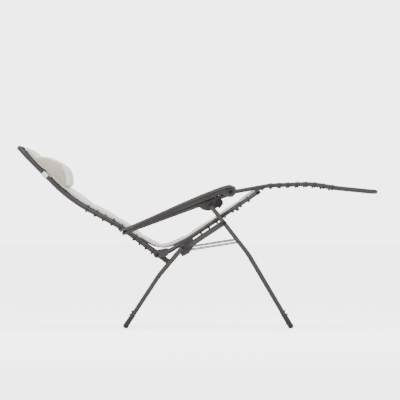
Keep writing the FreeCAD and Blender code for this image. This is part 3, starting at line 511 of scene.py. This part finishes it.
def make_sling():
    """One quilted pad from the head to the feet, blown up between its seams, then cut at the hinges."""
    spine = pad_spine()
    rows = len(spine)
    cuts = [nearest_row(spine, p) for p in (BACK_END, HIP, SEAT_START, SEAT_END, KNEE, LEG_START)]
    marks = [0, *cuts, rows - 1]
    panels = [5, 1, 1, 2, 1, 1, 4]
    seams = set()
    for a, b, count in zip(marks, marks[1:], panels):
        seams.update(seam_rows(a, b, count))

    across = []
    for j in range(COLUMNS + 1):
        across.append(-HALF_WIDTH + 2 * HALF_WIDTH * j / COLUMNS)
    across.insert(1, -HALF_WIDTH + HEM * 0.55)
    across.insert(-1, HALF_WIDTH - HEM * 0.55)
    across[2] = -HALF_WIDTH + HEM
    across[-3] = HALF_WIDTH - HEM
    width = len(across)

    full_half = []
    for i, point in enumerate(spine):
        if i <= marks[1]:
            full_half.append(back_half(point))
            continue
        hip_share = min(1.0, (i - marks[1]) / (marks[3] - marks[1]))
        leg_share = min(1.0, max(0.0, (i - marks[4]) / (marks[6] - marks[4])))
        base = full_half[marks[1]] * (1 - hip_share) + PAD_HALF * hip_share
        full_half.append(base * (1 - leg_share) + LEG_PAD_HALF * leg_share)

    def thickness(i, y):
        edge = (HALF_WIDTH - abs(y))
        full = full_half[i]
        near_end = min(i, rows - 1 - i) * ROW_STEP * MM
        depth = min(edge, near_end)
        if depth <= HEM:
            return HEM_HALF
        crown = 1 - math.exp(-(depth - HEM) / HEM_FADE)
        seam_gap = min(abs(i - s) for s in seams) * ROW_STEP * MM
        pinch = SEAM_SHARE + (1 - SEAM_SHARE) * (1 - math.exp(-seam_gap / SEAM_FADE))
        return HEM_HALF + (full - HEM_HALF) * crown * pinch

    top, low = [], []
    for i, point in enumerate(spine):
        before = spine[max(0, i - 1)]
        after = spine[min(rows - 1, i + 1)]
        normal = upright(after - before)
        for y in across:
            h = thickness(i, y) / MM
            a = point + normal * h
            b = point - normal * h
            top.append((a.x * MM, y, a.y * MM))
            low.append((b.x * MM, y, b.y * MM))
    verts = top + low
    count = len(top)
    faces = []

    def quad(i, j, base, flip):
        near = base + i * width + j
        far = near + width
        p = (near, near + 1, far + 1, far)
        return tuple(reversed(p)) if flip else p

    for i in range(rows - 1):
        for j in range(width - 1):
            faces.append(quad(i, j, 0, True))
            faces.append(quad(i, j, count, False))
    for i in range(rows - 1):
        faces.append((i * width, (i + 1) * width, count + (i + 1) * width, count + i * width))
        j = width - 1
        faces.append((i * width + j, count + i * width + j, count + (i + 1) * width + j, (i + 1) * width + j))
    for j in range(width - 1):
        faces.append((j, count + j, count + j + 1, j + 1))
        k = (rows - 1) * width + j
        faces.append((k, k + 1, count + k + 1, count + k))
    pad = link_mesh("sling_whole", verts, faces, MATERIALS["sling_fabric"])
    held = []
    for i in range(rows):
        for j, y in enumerate(across):
            hem = HALF_WIDTH - abs(y) <= HEM + 1e-6 or min(i, rows - 1 - i) < 2
            if hem or i in seams:
                held += [i * width + j, count + i * width + j]
    inflate(pad, PUFF, 5.0, held)
    cut_sling(pad, spine, across, marks, count, width, rows)


def cut_sling(pad, spine, across, marks, count, width, rows):
    """Separate pieces for each body and each side of a hinge, meeting at shared seams."""
    names = ["back_pad", "hip_pad_back", "hip_pad_seat", "seat_pad", "knee_pad_seat", "knee_pad_leg",
             "leg_rest_pad"]
    points = [v.co.copy() for v in pad.data.vertices]
    run = lengths(spine)
    made = {}
    for name, first, last in zip(names, marks, marks[1:]):
        keep = [i * width + j for i in range(first, last + 1) for j in range(width)]
        index = {}
        verts = []
        for side in (0, count):
            for k in keep:
                index[k + side] = len(verts)
                verts.append(points[k + side])
        faces = [p.vertices[:] for p in pad.data.polygons if all(v in index for v in p.vertices)]
        faces = [f for f in faces if not flat_cap(f, count, width, rows)]
        obj = link_mesh(name, verts, [tuple(index[v] for v in f) for f in faces], MATERIALS["sling_fabric"])
        # Bottom faces inside the turned-under columns, and all bottom faces of the hip pieces, take the dark
        # fabric as painted shade under the pad.
        obj.data.materials.append(UNDERSIDE_SHADE)
        rim = 0 if name.startswith("hip") else TURN_UNDER
        for polygon, face in zip(obj.data.polygons, faces):
            inside = all(v >= count and rim <= v % width < width - rim for v in face)
            polygon.material_index = 1 if inside else 0
        layer = obj.data.uv_layers.new(name="UVMap")
        order = {index[k]: k for k in index}
        for loop in obj.data.loops:
            k = order[loop.vertex_index] % count
            layer.data[loop.index].uv = (run[k // width] * MM, across[k % width])
        subdivide(obj)
        made[name] = obj
    bpy.data.objects.remove(pad)
    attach(made["back_pad"], "back")
    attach(made["seat_pad"], "seat")
    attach(made["leg_rest_pad"], "leg_rest")
    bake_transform(made["hip_pad_back"])
    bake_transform(made["hip_pad_seat"])
    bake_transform(made["knee_pad_seat"])
    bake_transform(made["knee_pad_leg"])
    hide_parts("back_sling")
    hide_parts("seat_sling")
    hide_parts("leg_rest_sling")
    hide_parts("hip_sling")
    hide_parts("knee_sling")


def flat_cap(face, count, width, rows):
    """True for an end face between top and bottom inside the sling, where it is cut."""
    tops = [v for v in face if v < count]
    if len(tops) != 2:
        return False
    rows_used = {v // width for v in tops}
    return len(rows_used) == 1 and rows_used.pop() not in (0, rows - 1)


# ---------------------------------------------------------------- stitching, lacing

def strip(name, path_points, up_vectors, wide, thick, material):
    """A flat strip with rounded edges along a path."""
    section = [(-0.5, 0.0), (-0.42, 0.42), (0.0, 0.5), (0.42, 0.42),
               (0.5, 0.0), (0.42, -0.42), (0.0, -0.5), (-0.42, -0.42)]
    verts, faces = [], []
    count = len(path_points)
    for i, point in enumerate(path_points):
        before = path_points[max(0, i - 1)]
        after = path_points[min(count - 1, i + 1)]
        way = (after - before).normalized()
        up = (up_vectors[i] - way * up_vectors[i].dot(way)).normalized()
        side = way.cross(up)
        for a, b in section:
            verts.append(point + side * (a * wide) + up * (b * thick))
    size = len(section)
    for i in range(count - 1):
        for k in range(size):
            n = (k + 1) % size
            faces.append((i * size + k, i * size + n, (i + 1) * size + n, (i + 1) * size + k))
    faces.append(tuple(range(size)))
    faces.append(tuple(reversed(range((count - 1) * size, count * size))))
    return link_mesh(name, verts, faces, material)


def cord_mesh(name, paths, radius, material, sides=8):
    """Round cord along several open paths, as one mesh."""
    verts, faces = [], []
    for path in paths:
        base = len(verts)
        normal = None
        for i, point in enumerate(path):
            way = (path[min(i + 1, len(path) - 1)] - path[max(i - 1, 0)]).normalized()
            if normal is None:
                normal = way.orthogonal().normalized()
            normal = (normal - way * normal.dot(way)).normalized()
            other = way.cross(normal)
            for k in range(sides):
                angle = 2 * math.pi * k / sides
                verts.append(point + normal * (math.cos(angle) * radius) + other * (math.sin(angle) * radius))
        for i in range(len(path) - 1):
            for k in range(sides):
                n = (k + 1) % sides
                faces.append((base + i * sides + k, base + i * sides + n,
                              base + (i + 1) * sides + n, base + (i + 1) * sides + k))
        faces.append(tuple(base + k for k in reversed(range(sides))))
        end = base + (len(path) - 1) * sides
        faces.append(tuple(end + k for k in range(sides)))
    return link_mesh(name, verts, faces, material)


def lacing(name, body, line, hooks, side, rise):
    """Elastic loops from each hook round the tube's inner side to an eyelet under the sling's hem.

    The tube runs at the given side of the chair, and the hem is rise millimetres above its centreline.
    """
    marks = lengths(line)
    paths = []
    eyelets = []
    inner = HALF_WIDTH - 0.010
    for hook in hooks:
        point, way = place(line, marks, hook)
        up = upright(way)
        for sign in (-1, 1):
            def at(height, y, shift=0.0):
                p = point + up * height + way * shift
                return Vector((p.x * MM, sign * y, p.y * MM))
            for shift in (-2.6, 2.6):
                paths.append([
                    at(-12.4, side + 0.002, shift), at(-11.8, side - 0.005, shift),
                    at(-6.0, side - 0.0115, shift), at(min(rise * 0.4, 4.0), side - 0.0125, shift),
                    at(rise - 3.6, HALF_WIDTH + 0.001, shift * 0.8),
                    at(rise - 4.2, inner + 0.002, shift * 0.4), at(rise - 3.4, inner, 0.0)])
            eyelets.append((at(rise - 2.9, inner), Vector((up.x, 0, up.y))))
    cord = cord_mesh(name + "_loops", paths, 0.0016, CORD)
    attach(cord, body)
    rings = eyelet_rings(name + "_eyelets", eyelets)
    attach(rings, body)


def eyelet_rings(name, places):
    """A small metal ring flat against the hem at each place."""
    verts, faces = [], []
    around, section = 18, 6
    ring_radius, wire_half, wire_height = 0.0042, 0.0013, 0.0009
    for centre, up in places:
        first = up.orthogonal().normalized()
        second = up.cross(first)
        base = len(verts)
        for i in range(around):
            a = 2 * math.pi * i / around
            out = first * math.cos(a) + second * math.sin(a)
            for k in range(section):
                b = 2 * math.pi * k / section
                reach = out * (ring_radius + wire_half * math.cos(b))
                verts.append(centre + reach + up * (wire_height * math.sin(b)))
        for i in range(around):
            for k in range(section):
                i2, k2 = (i + 1) % around, (k + 1) % section
                faces.append((base + i * section + k, base + i2 * section + k,
                              base + i2 * section + k2, base + i * section + k2))
    return link_mesh(name, verts, faces, MATERIALS["bolt_steel"])


def make_lacing():
    """The lacing of each frame, at its hooks' distances along the frame's centreline."""
    back_hooks = [192.0] + [272.0 + 43.2 * i for i in range(5)]
    seat_hooks = [166.0 + 44.0 * i for i in range(7)]
    leg_hooks = [188.0 + 40.0 * i for i in range(8)]
    lacing("back_lacing", "back", BACK_LINE, back_hooks, BACK_SIDE, 22.0)
    lacing("seat_lacing", "seat", SEAT_LINE, seat_hooks, SEAT_SIDE, 13.0)
    lacing("leg_lacing", "leg_rest", LEG_LINE, leg_hooks, BACK_SIDE, 14.0)


# ---------------------------------------------------------------- pillow

# Distance along the back's straight upper run to the mark that the pillow and strap are placed from.
PILLOW_MARK = 134.0


def upper_back(distance, height):
    """A point beside the back's straight upper run, in millimetres."""
    start, stop = Vector(BACK[2]), Vector(BACK[3])
    way = (stop - start).normalized()
    return start + way * (PILLOW_MARK + distance) + upright(way) * height


def make_pillow():
    """A stuffed pillow that lies over the pad, its ends drooping beside the tubes."""
    top = [(-741.0, 782.0), (-716.0, 784.0), (-692.0, 780.5), (-672.0, 774.0), (-650.0, 763.5),
           (-626.0, 750.0), (-604.0, 736.0), (-589.0, 722.0), (-579.0, 704.0), (-574.0, 684.0),
           (-573.0, 664.0), (-574.5, 650.0), (-583.0, 643.0)]
    outline = [Vector(p) for p in top]
    base = [upper_back(d, 39.5) for d in (-62.0, -35.0, -5.0, 25.0, 55.0, 82.0)]
    middle = outline + base
    flap = [(-74.0, 22.0), (-40.0, 18.0), (-5.0, 17.0), (30.0, 17.0), (70.0, 16.5), (122.0, 15.0)]
    drop = [upper_back(d, h) for d, h in flap]
    ends = outline + drop
    widths = [-0.258, -0.2545, -0.245, -0.2345, -0.2265, -0.20, -0.15, -0.09, -0.03]
    widths += [-w for w in reversed(widths)]
    verts, faces = [], []
    per = len(middle)
    shrink = {0: 0.80, 1: 0.91, 2: 0.965, 3: 0.975}
    for n, y in enumerate(widths):
        k = min(n, len(widths) - 1 - n)
        mix = 1.0 if k <= 2 else (0.55 if k == 3 else 0.0)
        ring = [m.lerp(e, mix) for m, e in zip(middle, ends)]
        centre = sum(ring, Vector((0, 0))) / per
        factor = shrink.get(k, 0.98)
        for p in ring:
            q = centre + (p - centre) * factor
            verts.append((q.x * MM, y, q.y * MM))
    for n in range(len(widths) - 1):
        for i in range(per):
            j = (i + 1) % per
            faces.append((n * per + i, n * per + j, (n + 1) * per + j, (n + 1) * per + i))
    faces.append(tuple(reversed(range(per))))
    last = (len(widths) - 1) * per
    faces.append(tuple(last + i for i in range(per)))
    pillow = link_mesh("pillow_cushion", verts, faces, MATERIALS["pillow_fabric"])
    bm = bmesh.new()
    bm.from_mesh(pillow.data)
    bmesh.ops.recalc_face_normals(bm, faces=bm.faces)
    bm.to_mesh(pillow.data)
    bm.free()
    remesh = pillow.modifiers.new("even", "REMESH")
    remesh.mode = "VOXEL"
    remesh.voxel_size = 0.006
    apply_modifiers(pillow)
    resting = [v.index for v in pillow.data.vertices if below_pillow(v.co)]
    inflate(pillow, 0.006, 4.0, resting)
    subdivide(pillow)
    pillow.data.materials.clear()
    pillow.data.materials.append(MATERIALS["pillow_fabric"])
    pillow.data.materials.append(PILLOW_END_SHADE)
    # Sideways faces of each end behind the seam take the darker tan as painted shade.
    for polygon in pillow.data.polygons:
        band = polygon.center.x < seam_x(polygon.center.z) and abs(polygon.normal.y) > 0.55
        polygon.material_index = 1 if band and abs(polygon.center.y) > 0.24 else 0
    project_uv(pillow)
    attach(pillow, "headrest")
    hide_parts("head_pillow")
    return pillow


def seam_x(z):
    """Where the seam of the pillow's end panel runs, at height z."""
    return -0.600 - max(0.0, z - 0.69) * 0.32


def below_pillow(point):
    """True for a point of the pillow that rests on the sling."""
    start = Vector(BACK[2])
    way = (Vector(BACK[3]) - start).normalized()
    height = (Vector((point.x / MM, point.z / MM)) - start).dot(upright(way))
    return height < 42.0 and abs(point.y) < 0.236


def surface_path(obj, points, direction, lift):
    """Each point moved along direction onto the object's surface, lifted a little."""
    way = Vector(direction)
    path = []
    for point in points:
        hit, where, normal, _ = obj.ray_cast(Vector(point) - way * 0.1, way, distance=0.2)
        if hit:
            path.append(where + normal * lift)
    return path


def make_pillow_piping(pillow):
    """A corded seam up each end of the pillow."""
    paths = []
    for sign in (-1, 1):
        points = [(seam_x(z), sign * 0.262, z) for z in [0.650 + 0.0045 * k for k in range(18)]]
        path = surface_path(pillow, points, (0, -sign, 0), 0.0006)
        if len(path) > 3:
            paths.append(path)
    if paths:
        piping = cord_mesh("pillow_piping", paths, 0.0017, THREAD)
        project_uv(piping)
        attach(piping, "headrest")


def make_strap():
    """White elastic round each side tube and across behind the sling."""
    mark = 24.0
    wide = 0.029
    radius = 11.4
    way3 = Vector((BACK[3][0] - BACK[2][0], 0, BACK[3][1] - BACK[2][1])).normalized()
    up3 = Vector((-way3.z, 0, way3.x))
    if up3.z < 0:
        up3 = -up3
    centre = upper_back(mark, 0.0) * MM
    base = Vector((centre.x, 0, centre.y))
    path, ups = [], []
    for sign in (-1, 1):
        turn = []
        for k in range(26):
            turn.append(math.radians(-90 + 330 * k / 25))
        loop = []
        for angle in turn:
            out = Vector((0, math.cos(angle) * sign, 0)) + up3 * math.sin(angle)
            loop.append((base + Vector((0, sign * BACK_SIDE, 0)) + out * radius * MM, out))
        if sign < 0:
            loop.reverse()
        path += [p for p, _ in loop]
        ups += [o for _, o in loop]
        if sign < 0:
            for k in range(1, 24):
                y = -BACK_SIDE + 2 * BACK_SIDE * k / 24
                sag = math.sin(math.pi * k / 24) * 0.002
                path.append(base + Vector((0, y, 0)) - up3 * (radius * MM + sag))
                ups.append(-up3)
    band = strip("pillow_elastic", path, ups, wide, 0.0012, MATERIALS["elastic_white"])
    subdivide(band)
    project_uv(band, (0, 1, 0))
    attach(band, "headrest")
    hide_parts("pillow_strap")


def make_head_binding():
    """Black binding sewn over the top bar and the head end of the sling."""
    tip = Vector(BACK[4])
    inward = (Vector(BACK[3]) - tip).normalized()
    up = upright(inward)
    radius = 10.5
    section = []
    for k in range(15):
        angle = math.radians(-110 + 200 * k / 14)
        section.append(tip + (up * math.sin(angle) - inward * math.cos(angle)) * radius)
    section += [tip + up * (radius + 3.0) + inward * 9.0, tip + up * (radius + 9.5) + inward * 19.0]
    half = 0.194
    verts, faces = [], []
    columns = 66
    outer = len(section)
    for j in range(columns + 1):
        y = -half + 2 * half * j / columns
        pucker = 0.35 * math.sin(j * 2.1) + 0.25 * math.sin(j * 0.83 + 1)
        for k, p in enumerate(section):
            share = 0.3 + 0.7 * k / outer
            q = p + (p - tip).normalized() * pucker * share
            verts.append((q.x * MM, y, q.y * MM))
    for j in range(columns):
        for k in range(outer - 1):
            faces.append((j * outer + k, j * outer + k + 1, (j + 1) * outer + k + 1, (j + 1) * outer + k))
    binding = link_mesh("head_binding", verts, faces, MATERIALS["trim_fabric"])
    solid = binding.modifiers.new("thick", "SOLIDIFY")
    solid.thickness = 0.0012
    solid.offset = 1.0
    apply_modifiers(binding)
    subdivide(binding)
    project_uv(binding, (0, 1, 0))
    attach(binding, "back")
    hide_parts("top_trim")


# ---------------------------------------------------------------- moulded details and painted slot shade

def ring_boss(name, body, centre, side, radius, inner, depth, material):
    """A turned boss on the arm's outer face round a sunken screw, on both sides."""
    profile = [(radius, 0.0), (radius - 0.0006, depth * 0.7), (radius - 0.002, depth), (inner + 0.003, depth),
               (inner + 0.0012, depth * 0.8), (inner, depth * 0.2), (inner - 0.001, 0.0)]
    around = 48
    verts, faces = [], []
    for sign in (-1, 1):
        base = len(verts)
        for i in range(around):
            a = 2 * math.pi * i / around
            for r, d in profile:
                verts.append((centre[0] + math.cos(a) * r, sign * (side + d), centre[1] + math.sin(a) * r))
        size = len(profile)
        for i in range(around):
            n = (i + 1) % around
            for k in range(size - 1):
                here, there = base + i * size + k, base + n * size + k
                quad = (here, here + 1, there + 1, there)
                faces.append(quad if sign < 0 else quad[::-1])
    boss = link_mesh(name, verts, faces, material)
    subdivide(boss)
    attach(boss, body)


def make_arm_slot_shade():
    """A black rib between each arm's web and its rail, ahead of the lock: painted shade in the slot there."""
    low, high = [Vector(p) for p in ARM_RAIL]
    way = (high - low).normalized()
    up = upright(way)
    outline = [(422.0, 9.9), (426.0, 20.0), (430.0, 22.0), (472.0, 22.0), (476.0, 19.0), (477.0, 9.9)]
    verts, faces = [], []
    for sign in (-1, 1):
        base = len(verts)
        for y, inset in ((0.2985, 0.6), (0.2992, 0.0), (0.3008, 0.0), (0.3015, 0.6)):
            for k, (along, height) in enumerate(outline):
                shift = inset if k < 3 else -inset
                p = low + way * (along + shift) + up * (height - (inset if height > 15 else 0.0))
                verts.append((p.x * MM, sign * y, p.y * MM))
        size = len(outline)
        for ring in range(3):
            for k in range(size):
                n = (k + 1) % size
                quad = (base + ring * size + k, base + ring * size + n,
                        base + (ring + 1) * size + n, base + (ring + 1) * size + k)
                faces.append(quad if sign > 0 else tuple(reversed(quad)))
        near = tuple(base + k for k in range(size))
        far = tuple(base + 3 * size + k for k in reversed(range(size)))
        faces += [near, far] if sign < 0 else [near[::-1], far[::-1]]
    # Black plastic here is painted shade in the slot between the arm's web and its rail.
    rib = link_mesh("arm_slot_painted_shade", verts, faces, MATERIALS["black_plastic"], False)
    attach(rib, "armrests")


# ---------------------------------------------------------------- floor and light

def seen_or_lit(n, links, seen, lit):
    """A strength that is one value to the camera and another to everything the scene lights."""
    path = add_node(n, "ShaderNodeLightPath")
    strength = add_node(n, "ShaderNodeMapRange")
    strength.inputs["To Min"].default_value = lit
    strength.inputs["To Max"].default_value = seen
    links.new(path.outputs["Is Camera Ray"], strength.inputs["Value"])
    return strength.outputs["Result"]


def make_floor():
    """A wide pale floor that fades into the backdrop."""
    material, n, links, bsdf = new_material("pale_floor")
    bsdf.inputs["Base Color"].default_value = (0.93, 0.93, 0.93, 1.0)
    bsdf.inputs["Roughness"].default_value = 0.85
    bsdf.inputs["Specular IOR Level"].default_value = 0.1
    bsdf.inputs["Emission Color"].default_value = (1.0, 1.0, 1.0, 1.0)
    links.new(seen_or_lit(n, links, FLOOR_GLOW, 0.0), bsdf.inputs["Emission Strength"])
    corners = [(-40, -40, 0), (40, -40, 0), (40, 40, 0), (-40, 40, 0)]
    floor = link_mesh("floor", corners, [(0, 1, 2, 3)], material, False)


def area_light(name, place_at, target, size, power):
    """A round soft light that faces a target."""
    data = bpy.data.lights.new(name, "AREA")
    data.shape = "DISK"
    data.size = size
    data.energy = power
    obj = bpy.data.objects.new(name, data)
    obj.location = place_at
    obj.rotation_euler = (Vector(target) - Vector(place_at)).to_track_quat("-Z", "Y").to_euler()
    scene.collection.objects.link(obj)


BACKDROP = 4.5
FLOOR_GLOW = 3.1
AMBIENT = 1.15


def make_light():
    """An even white surround with a soft key from the front left, as in a studio cut-out."""
    world = bpy.data.worlds.new("studio")
    world.use_nodes = True
    n, links = world.node_tree.nodes, world.node_tree.links
    background = n["Background"]
    background.inputs["Color"].default_value = (1.0, 1.0, 1.0, 1.0)
    links.new(seen_or_lit(n, links, BACKDROP, AMBIENT), background.inputs["Strength"])
    scene.world = world
    area_light("key", (-1.6, -3.4, 3.4), (0, 0, 0.5), 2.2, 110.0)
    area_light("fill", (2.6, -3.0, 1.8), (0, 0, 0.5), 2.6, 35.0)
    area_light("top", (0.2, 0.6, 3.6), (0, 0, 0.5), 2.4, 60.0)


make_camera()
dress_cad_nodes()
make_sling()
make_lacing()
pillow = make_pillow()
make_pillow_piping(pillow)
make_strap()
make_head_binding()
ring_boss("arm_front_boss", "armrests", ARM_FRONT, ARM_FACE, radius=0.0215, inner=0.0125, depth=0.0032,
          material=MATERIALS["arm_plastic"])
make_arm_slot_shade()
make_floor()
make_light()
